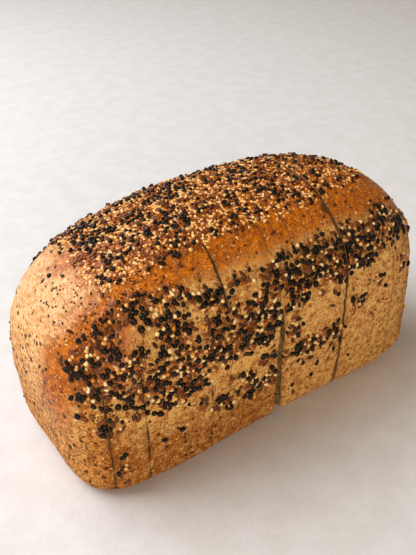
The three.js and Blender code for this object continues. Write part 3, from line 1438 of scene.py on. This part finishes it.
class Effects:
    """The effects that several finishes share, each built once."""

    def __init__(self) -> None:
        """Builds the effects."""
        self.grain = self.build_grain()
        self.flecks = self.build_flecks()

    def build_grain(self) -> Tree:
        """Baked grain: fine and coarse mottling, each stretched to fill 0 to 1.

        Returns:
            The effect's node tree.
        """
        scales = {"Fine Scale": 1000.0, "Coarse Scale": 250.0}
        tree, canvas = new_effect("baked_grain", scales, ("Fine", "Coarse"))
        given = canvas.node("NodeGroupInput", {})
        inputs = {"Vector": given.outputs["Vector"], "Detail": 3.0, "Roughness": 0.62}
        fine = canvas.node("ShaderNodeTexNoise", {**inputs, "Scale": given.outputs["Fine Scale"]})
        coarse = canvas.node("ShaderNodeTexNoise", {**inputs, "Scale": given.outputs["Coarse Scale"]})
        ends = {
            "Fine": canvas.span(fine.outputs["Fac"], 0.37, 0.63),
            "Coarse": canvas.span(coarse.outputs["Fac"], 0.36, 0.64),
        }
        canvas.node("NodeGroupOutput", ends)
        return tree

    def build_flecks(self) -> Tree:
        """Bran flecks: small ovals about the spots of cells, where the cell's random value is low.

        Returns:
            The effect's node tree.
        """
        tree, canvas = new_effect("bran_flecks", {"Scale": 300.0, "Share": 0.3, "Size": 0.2}, ("Mask",))
        given = canvas.node("NodeGroupInput", {})
        wobble = canvas.node("ShaderNodeTexNoise", {"Vector": given.outputs["Vector"], "Scale": 700.0})
        shift = canvas.node(
            "ShaderNodeVectorMath", {0: wobble.outputs["Color"], "Scale": 0.0016}, operation="SCALE"
        )
        moved = canvas.node(
            "ShaderNodeVectorMath", {0: given.outputs["Vector"], 1: shift.outputs[0]}, operation="ADD"
        )
        inputs = {"Vector": moved.outputs[0], "Scale": given.outputs["Scale"]}
        cells = canvas.node("ShaderNodeTexVoronoi", inputs)
        pick = canvas.node("ShaderNodeSeparateColor", {"Color": cells.outputs["Color"]})
        chosen = canvas.sums("LESS_THAN", pick.outputs[0], given.outputs["Share"])
        share = canvas.span(pick.outputs[1], 0.0, 1.0, 0.5, 1.3)
        size = canvas.sums("MULTIPLY", given.outputs["Size"], share)
        inside = canvas.sums("LESS_THAN", cells.outputs["Distance"], size)
        canvas.node("NodeGroupOutput", {"Mask": canvas.sums("MULTIPLY", chosen, inside)})
        return tree


def new_material(name: str) -> tuple[bpy.types.Material, Canvas, bpy.types.Node]:
    """Starts a material that holds only its surface shader.

    Args:
        name: The material's name.

    Returns:
        The material, a canvas to draw in its tree, and the Principled shader.
    """
    material = bpy.data.materials.new(name)
    material.use_nodes = True
    canvas = Canvas(material.node_tree)
    return material, canvas, material.node_tree.nodes["Principled BSDF"]


@dataclass(frozen=True)
class Flecks:
    """One sort of fleck in the crust. A pair is its measure on smooth crust and on the rough ends."""

    colour: Colour
    scale: float
    share: Ramp
    strength: Ramp
    size: Ramp = (0.28, 0.28)

    def laid(self, canvas: Canvas, effects: Effects, colour: Socket, rough: Socket) -> Socket:
        """Lays the flecks over a colour.

        Args:
            canvas: The canvas of the crust's material.
            effects: The shared effects.
            colour: The colour beneath.
            rough: 0 on smooth crust and 1 on the rough ends.

        Returns:
            The colour with its flecks.
        """
        share, strength, size = (
            canvas.span(rough, 0.0, 1.0, *pair) for pair in (self.share, self.strength, self.size)
        )
        made = canvas.group(effects.flecks, {"Scale": self.scale, "Share": share, "Size": size})
        return canvas.over(colour, self.colour, made.outputs["Mask"], strength)


@dataclass(frozen=True)
class CrustFinish:
    """Baked crust: tan mottled walls, an orange-brown glazed dome, a pale shoulder that is partly painted
    sheen, and bran flecks; the left corners, low walls, seed beds and gaping cuts are darkened partly with
    painted shade.
    """

    wall: Tints = (tone(150, 68, 4), tone(248, 199, 114))
    dome: Tints = (tone(120, 48, 0), tone(224, 122, 10))
    end: Tints = (tone(112, 46, 4), tone(242, 168, 84))
    heel: Tints = (tone(86, 32, 0), tone(240, 164, 78))
    # The pale shoulder's colours: partly a pale crust, partly painted sheen.
    blush_and_sheen: Tints = (tone(224, 146, 76), tone(255, 213, 154))
    # The dark low walls' colour: partly a browner crust, partly painted shade.
    low_browning_and_shade_tone: Colour = tone(134, 64, 0)
    # Crust among thick seeds: partly a brown stain, partly painted shade between the seeds.
    seed_bed_stain_and_shade: Colour = tone(96, 48, 14)
    # Near-black for the caramelised spots and for painted shade along gaping cuts.
    char_and_cut_shade: Colour = tone(46, 20, 4)
    flecks: tuple[Flecks, ...] = (
        Flecks(tone(178, 82, 12), 480.0, share=(0.55, 0.55), strength=(0.6, 0.6)),
        # Pale flour specks, partly painted glints.
        Flecks(tone(255, 220, 144), 700.0, share=(0.4, 0.4), strength=(0.45, 0.75)),
        Flecks(tone(104, 50, 12), 600.0, share=(0.35, 0.35), strength=(0.55, 0.9)),
        Flecks(tone(46, 22, 7), 290.0, share=(0.4, 0.8), strength=(0.85, 0.85), size=(0.22, 0.28)),
    )

    def material(self, effects: Effects) -> bpy.types.Material:
        """Builds the material.

        Args:
            effects: The shared effects.

        Returns:
            The material.
        """
        material, canvas, shader = new_material("seeded_crust")
        stored, sums = canvas.stored, canvas.sums
        grain = canvas.group(effects.grain, {"Fine Scale": 1150.0, "Coarse Scale": 300.0})
        fine, coarse = grain.outputs["Fine"], grain.outputs["Coarse"]
        tint = sums("ADD", sums("MULTIPLY", fine, 0.5), sums("MULTIPLY", coarse, 0.5))
        wander = sums("MULTIPLY", sums("SUBTRACT", tint, 0.5), 0.9)
        bake = canvas.span(sums("ADD", stored("bake"), wander), 0.05, 0.95)
        colour = canvas.mix(tint, *self.wall)
        for tints, mask, strength in (
            (self.end, stored("end"), 1.0),
            (self.heel, stored("heel"), 1.0),
            (self.dome, bake, 1.0),
            (self.blush_and_sheen, stored("blush_and_sheen"), 0.84),
        ):
            colour = canvas.over(colour, canvas.mix(tint, *tints), mask, strength)
        # Darkens the low left walls, partly as painted shade.
        colour = canvas.over(colour, self.low_browning_and_shade_tone, stored("low_browning_and_shade"), canvas.span(tint, 0.0, 1.0, 1.0, 0.5))
        # Darkens the crust where seeds lie thick: partly a brown stain, partly painted shade between the
        # seeds.
        stain_and_shade = canvas.span(canvas.noise(7.0), 0.4, 0.62, 0.15, 0.8)
        colour = canvas.over(colour, self.seed_bed_stain_and_shade, stored("seeded"), stain_and_shade)
        rough = sums("MAXIMUM", stored("end"), stored("heel"))
        for flecks in self.flecks:
            colour = flecks.laid(canvas, effects, colour, rough)
        roughness = sums("ADD", canvas.span(bake, 0.0, 1.0, 0.62, 0.44), sums("MULTIPLY", wander, -0.2))
        grit = sums("MULTIPLY", canvas.noise(0.6, 2.0, 0.7), 1.2)
        look = {
            "Base Color": canvas.over(colour, self.char_and_cut_shade, stored("edge"), 0.85),
            "Roughness": roughness,
            "Specular IOR Level": 0.08,
            "Coat Weight": sums("MULTIPLY", bake, 0.3),
            "Coat Roughness": 0.32,
            "Normal": canvas.bump(sums("ADD", grit, sums("MULTIPLY", coarse, 0.5)), 0.8, 0.0005),
        }
        canvas.fill(shader, look)
        return material


@dataclass(frozen=True)
class CrumbFinish:
    """Cut wholegrain crumb: greyish tan, dark in its bubbles, browner towards the crust and darker there as
    painted shade, and near-black painted shade at gaping cuts.
    """

    light: Colour = tone(222, 176, 108)
    dark: Colour = tone(124, 84, 38)
    # Browner crumb by the crust, darkened further as painted shade in the gaps between slices.
    rind: Colour = tone(168, 124, 66)
    fleck: Colour = tone(92, 58, 34)
    # Near-black painted shade along gaping cuts, and the caramelised spots at the rim.
    char_and_cut_shade: Colour = tone(46, 22, 6)

    def material(self, effects: Effects) -> bpy.types.Material:
        """Builds the material.

        Args:
            effects: The shared effects.

        Returns:
            The material.
        """
        material, canvas, shader = new_material("wholegrain_crumb")
        grain = canvas.group(effects.grain, {"Fine Scale": 1100.0, "Coarse Scale": 330.0})
        fine, coarse = grain.outputs["Fine"], grain.outputs["Coarse"]
        flecks = canvas.group(effects.flecks, {"Scale": 300.0, "Share": 0.25, "Size": 0.2})
        rind = canvas.stored("rind")
        colour = canvas.over(canvas.mix(coarse, self.dark, self.light), self.dark, fine, 0.35)
        colour = canvas.over(colour, self.fleck, flecks.outputs["Mask"], 0.7)
        # The rind colour here is partly painted shade of the gaps between slices.
        colour = canvas.over(colour, self.rind, rind)
        look = {
            "Base Color": canvas.over(colour, self.char_and_cut_shade, rind, canvas.stored("edge")),
            "Roughness": 0.85,
            "Normal": canvas.bump(canvas.sums("ADD", fine, coarse), 0.7, 0.0006),
        }
        canvas.fill(shader, look)
        return material


@dataclass(frozen=True)
class SeedFinish:
    """The hull of one kind of seed: two colours that single seeds lie between, toasted on the dome."""

    kind: SeedKind
    dark: Colour
    light: Colour
    toasted: Colour
    roughness: float
    shine: float
    glint: Colour = tone(255, 226, 190)

    def material(self) -> bpy.types.Material:
        """Builds the material.

        Returns:
            The material.
        """
        material, canvas, shader = new_material(f"{self.kind.name.lower()}_hull")
        mottle = canvas.noise(0.6, 1.0)
        colour = canvas.mix(canvas.stored("tone"), self.dark, self.light)
        colour = canvas.over(colour, self.toasted, canvas.stored("bake"), 0.75)
        look = {
            "Base Color": canvas.mix(canvas.span(mottle, 0.3, 0.7, 0.0, 0.4), colour, self.dark),
            "Roughness": self.roughness,
            "Specular IOR Level": self.shine,
            "Specular Tint": self.glint,
            "Normal": canvas.bump(mottle, 0.5, 0.0002),
        }
        canvas.fill(shader, look)
        return material


SEED_FINISHES = (
    SeedFinish(SeedKind.BLACK, tone(4, 3, 2), tone(24, 18, 15), tone(20, 11, 6), 0.34, 0.24),
    SeedFinish(SeedKind.LINSEED, tone(46, 18, 4), tone(136, 68, 24), tone(96, 38, 7), 0.26, 0.36),
    SeedFinish(SeedKind.MILLET, tone(216, 132, 32), tone(255, 232, 166), tone(255, 190, 100), 0.3, 0.5),
    # Sesame: pale hulls, their light and toasted colours lightened further as painted glints.
    SeedFinish(SeedKind.SESAME, tone(214, 122, 30), tone(255, 240, 192), tone(255, 200, 116), 0.22, 0.8),
    SeedFinish(SeedKind.TOASTED, tone(46, 18, 2), tone(186, 92, 18), tone(140, 62, 8), 0.22, 0.6),
    SeedFinish(SeedKind.POPPY, tone(12, 9, 7), tone(60, 40, 26), tone(34, 20, 10), 0.5, 0.2),
)


# Studio


@dataclass(frozen=True)
class View:
    """Where the camera stands: its bearing and height about a point on the loaf, and its lens."""

    azimuth: float = -34.46
    elevation: float = 34.45
    distance: float = 385.15
    roll: float = -1.163
    lens: float = 47.27
    aim_height: float = 55.0
    aim_right: float = -7.94
    aim_up: float = 6.68

    def place(self) -> bpy.types.Object:
        """Makes the camera and gives it to the scene.

        The camera looks back along (sin a cos e, -cos a cos e, sin e), for azimuth a and elevation e.

        Returns:
            The camera.
        """
        azimuth, elevation, roll = (math.radians(a) for a in (self.azimuth, self.elevation, self.roll))
        flat = math.cos(elevation)
        back = np.array([math.sin(azimuth) * flat, -math.cos(azimuth) * flat, math.sin(elevation)])
        level = np.array([math.cos(azimuth), math.sin(azimuth), 0.0])
        steep = np.cross(back, level)
        right = math.cos(roll) * level + math.sin(roll) * steep
        up = -math.sin(roll) * level + math.cos(roll) * steep
        aim = np.array([0.0, 0.0, self.aim_height]) + right * self.aim_right + up * self.aim_up
        camera = put_in_scene(bpy.data.cameras.new("camera"))
        camera.data.lens = self.lens
        camera.data.clip_start = 0.01
        axes = np.stack([right, up, back], axis=-1)
        turn = Matrix([[*row, 0.0] for row in axes.tolist()] + [[0.0, 0.0, 0.0, 1.0]])
        camera.matrix_world = Matrix.Translation(Vector((aim + back * self.distance) * MM)) @ turn
        bpy.context.scene.camera = camera
        return camera


@dataclass(frozen=True)
class Lamp:
    """A square soft light that faces the loaf. Its place, its target and its size are metres."""

    name: str
    place: tuple[float, float, float]
    size: float
    power: float
    colour: tuple[float, float, float]
    target: tuple[float, float, float] = (0.0, 0.0, 0.05)

    def build(self) -> bpy.types.Object:
        """Makes the lamp and turns it to face the middle of the loaf.

        Returns:
            The lamp.
        """
        lamp = put_in_scene(bpy.data.lights.new(self.name, "AREA"))
        lamp.data.shape = "SQUARE"
        lamp.data.size = self.size
        lamp.data.energy = self.power
        lamp.data.color = self.colour
        position = Vector(self.place)
        turn = (position - Vector(self.target)).to_track_quat("Z", "Y")
        lamp.matrix_world = Matrix.Translation(position) @ turn.to_matrix().to_4x4()
        return lamp


@dataclass(frozen=True)
class Studio:
    """A pale stone floor, a soft sky and two soft lamps, in metres."""

    stone: Tints = (tone(217, 208, 198), tone(226, 218, 210))
    half_floor: float = 4.0
    sky: Colour = tone(214, 201, 178)
    sky_strength: float = 0.385
    lamps: tuple[Lamp, ...] = (
        Lamp("key_lamp", (-0.52, 0.57, 0.87), 1.25, 25.0, (0.8, 0.88, 1.0)),
        Lamp("fill_lamp", (-0.45, -1.0, 0.3), 0.5, 6.2, (1.0, 0.94, 0.88)),
    )

    def floor(self, effects: Effects) -> bpy.types.Object:
        """Makes the floor: one large square with a faint stone mottle.

        Args:
            effects: The shared effects.

        Returns:
            The floor.
        """
        half = self.half_floor
        mesh = bpy.data.meshes.new("floor")
        corners = [(-half, -half, 0.0), (half, -half, 0.0), (half, half, 0.0), (-half, half, 0.0)]
        mesh.from_pydata(corners, [], [(0, 1, 2, 3)])
        floor = put_in_scene(mesh)
        material, canvas, shader = new_material("pale_stone")
        grain = canvas.group(effects.grain, {"Fine Scale": 450.0, "Coarse Scale": 60.0})
        blend = canvas.sums("MULTIPLY", grain.outputs["Fine"], 0.6)
        blend = canvas.sums("ADD", blend, grain.outputs["Coarse"])
        colour = canvas.mix(canvas.sums("MULTIPLY", blend, 0.6), *self.stone)
        canvas.fill(shader, {"Base Color": colour, "Roughness": 0.8})
        mesh.materials.append(material)
        return floor

    def build(self, effects: Effects) -> None:
        """Makes the floor, the sky and the lamps.

        Args:
            effects: The shared effects.
        """
        self.floor(effects)
        world = bpy.data.worlds.new("sky")
        world.use_nodes = True
        background = world.node_tree.nodes["Background"]
        background.inputs["Color"].default_value = self.sky
        background.inputs["Strength"].default_value = self.sky_strength
        bpy.context.scene.world = world
        bpy.context.scene.view_settings.view_transform = "Standard"
        for lamp in self.lamps:
            lamp.build()


# The loaf


@dataclass
class Loaf:
    """The sliced loaf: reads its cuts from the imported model, and builds and dresses every slice."""

    slips: tuple[float, ...] = (
        (0.1, -0.15, 0, 0, 0, 0.05, -0.25, -0.25) + (0.3, 0.25, 0.25, -0.2, -0.2, -0.2, 0.15, 0.2)
    )
    gapes: dict[int, dict[str, object]] = field(
        default_factory=lambda: {
            0: {"low": 0.6},
            1: {"low": 0.55},
            2: {"low": 0.18},
            3: {"low": 0.14},
            4: {"low": 0.35, "turn": (44.0, 56.0)},
            5: {"high": 0.95, "turn": (80.0, 92.0)},
            8: {"high": 0.4, "turn": (92.0, 100.0)},
            6: {"low": 0.1},
            7: {"low": 0.3, "high": 0.3, "foot": 3.9, "lean": 0.04},
            10: {"low": 0.9, "high": 1.1},
            13: {"low": 0.7, "high": 0.0, "turn": (62.0, 78.0)},
        }
    )

    def nodes(self) -> list[str]:
        """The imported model's nodes from left to right."""
        return sorted(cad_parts, key=lambda node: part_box(node)[0].x)

    def cuts(self, nodes: list[str]) -> list[Cut]:
        """The cuts between neighbours, each in the middle of the two slices' facing sides.

        Args:
            nodes: The nodes from left to right.

        Returns:
            The cuts from left to right.
        """
        places = [(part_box(a)[1].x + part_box(b)[0].x) / 2 / MM for a, b in zip(nodes[:-1], nodes[1:])]
        return [Cut(place, **self.gapes.get(index, {})) for index, place in enumerate(places)]

    def slices(self) -> list[Slice]:
        """Lays out the slices between the cuts.

        Returns:
            The slices from left to right.
        """
        low, high = CAD_BOX
        shape = TinShape(length=(high[0] - low[0]) / MM, height=(high[2] - low[2]) / MM)
        girth = Girth(shape)
        _, girths = girth.turned()
        crust = CrustMap(crown_girth=girths[0] + (girths[-1] - girths[0]) / 2)
        nodes = self.nodes()
        ends: list[Cut | None] = [None, *self.cuts(nodes), None]
        return [
            Slice(node, shape, girth, Relief(), crust, Sowing(crust), left, right, slip, number)
            for number, (node, left, right, slip) in enumerate(zip(nodes, ends, ends[1:], self.slips))
        ]

    def dress(self, pieces: list[bpy.types.Object], effects: Effects) -> None:
        """Gives the skins their crust and crumb, and the seeds their hulls.

        Args:
            pieces: A skin and its seeds, one after the other, for every slice.
            effects: The shared effects.
        """
        bread = [CrustFinish().material(effects), CrumbFinish().material(effects)]
        hulls = [finish.material() for finish in SEED_FINISHES]
        for skin, seeds in zip(pieces[0::2], pieces[1::2]):
            for material in bread:
                skin.data.materials.append(material)
            for material in hulls:
                seeds.data.materials.append(material)

    def build(self, effects: Effects) -> None:
        """Builds every slice, reports it, and dresses the loaf.

        Args:
            effects: The shared effects.
        """
        pieces = []
        for piece in self.slices():
            made = piece.build()
            pieces += made
            counts = [len(part.data.polygons) for part in made]
            LOG.info("%s: %d faces of bread and %d of seeds", piece.node, *counts)
        self.dress(pieces, effects)


def main() -> None:
    """Builds the camera, the studio and the loaf in order."""
    logging.basicConfig(level=logging.INFO, format="%(name)s: %(message)s")
    View().place()
    effects = Effects()
    Studio().build(effects)
    Loaf().build(effects)


if __name__ == "__main__":
    main()
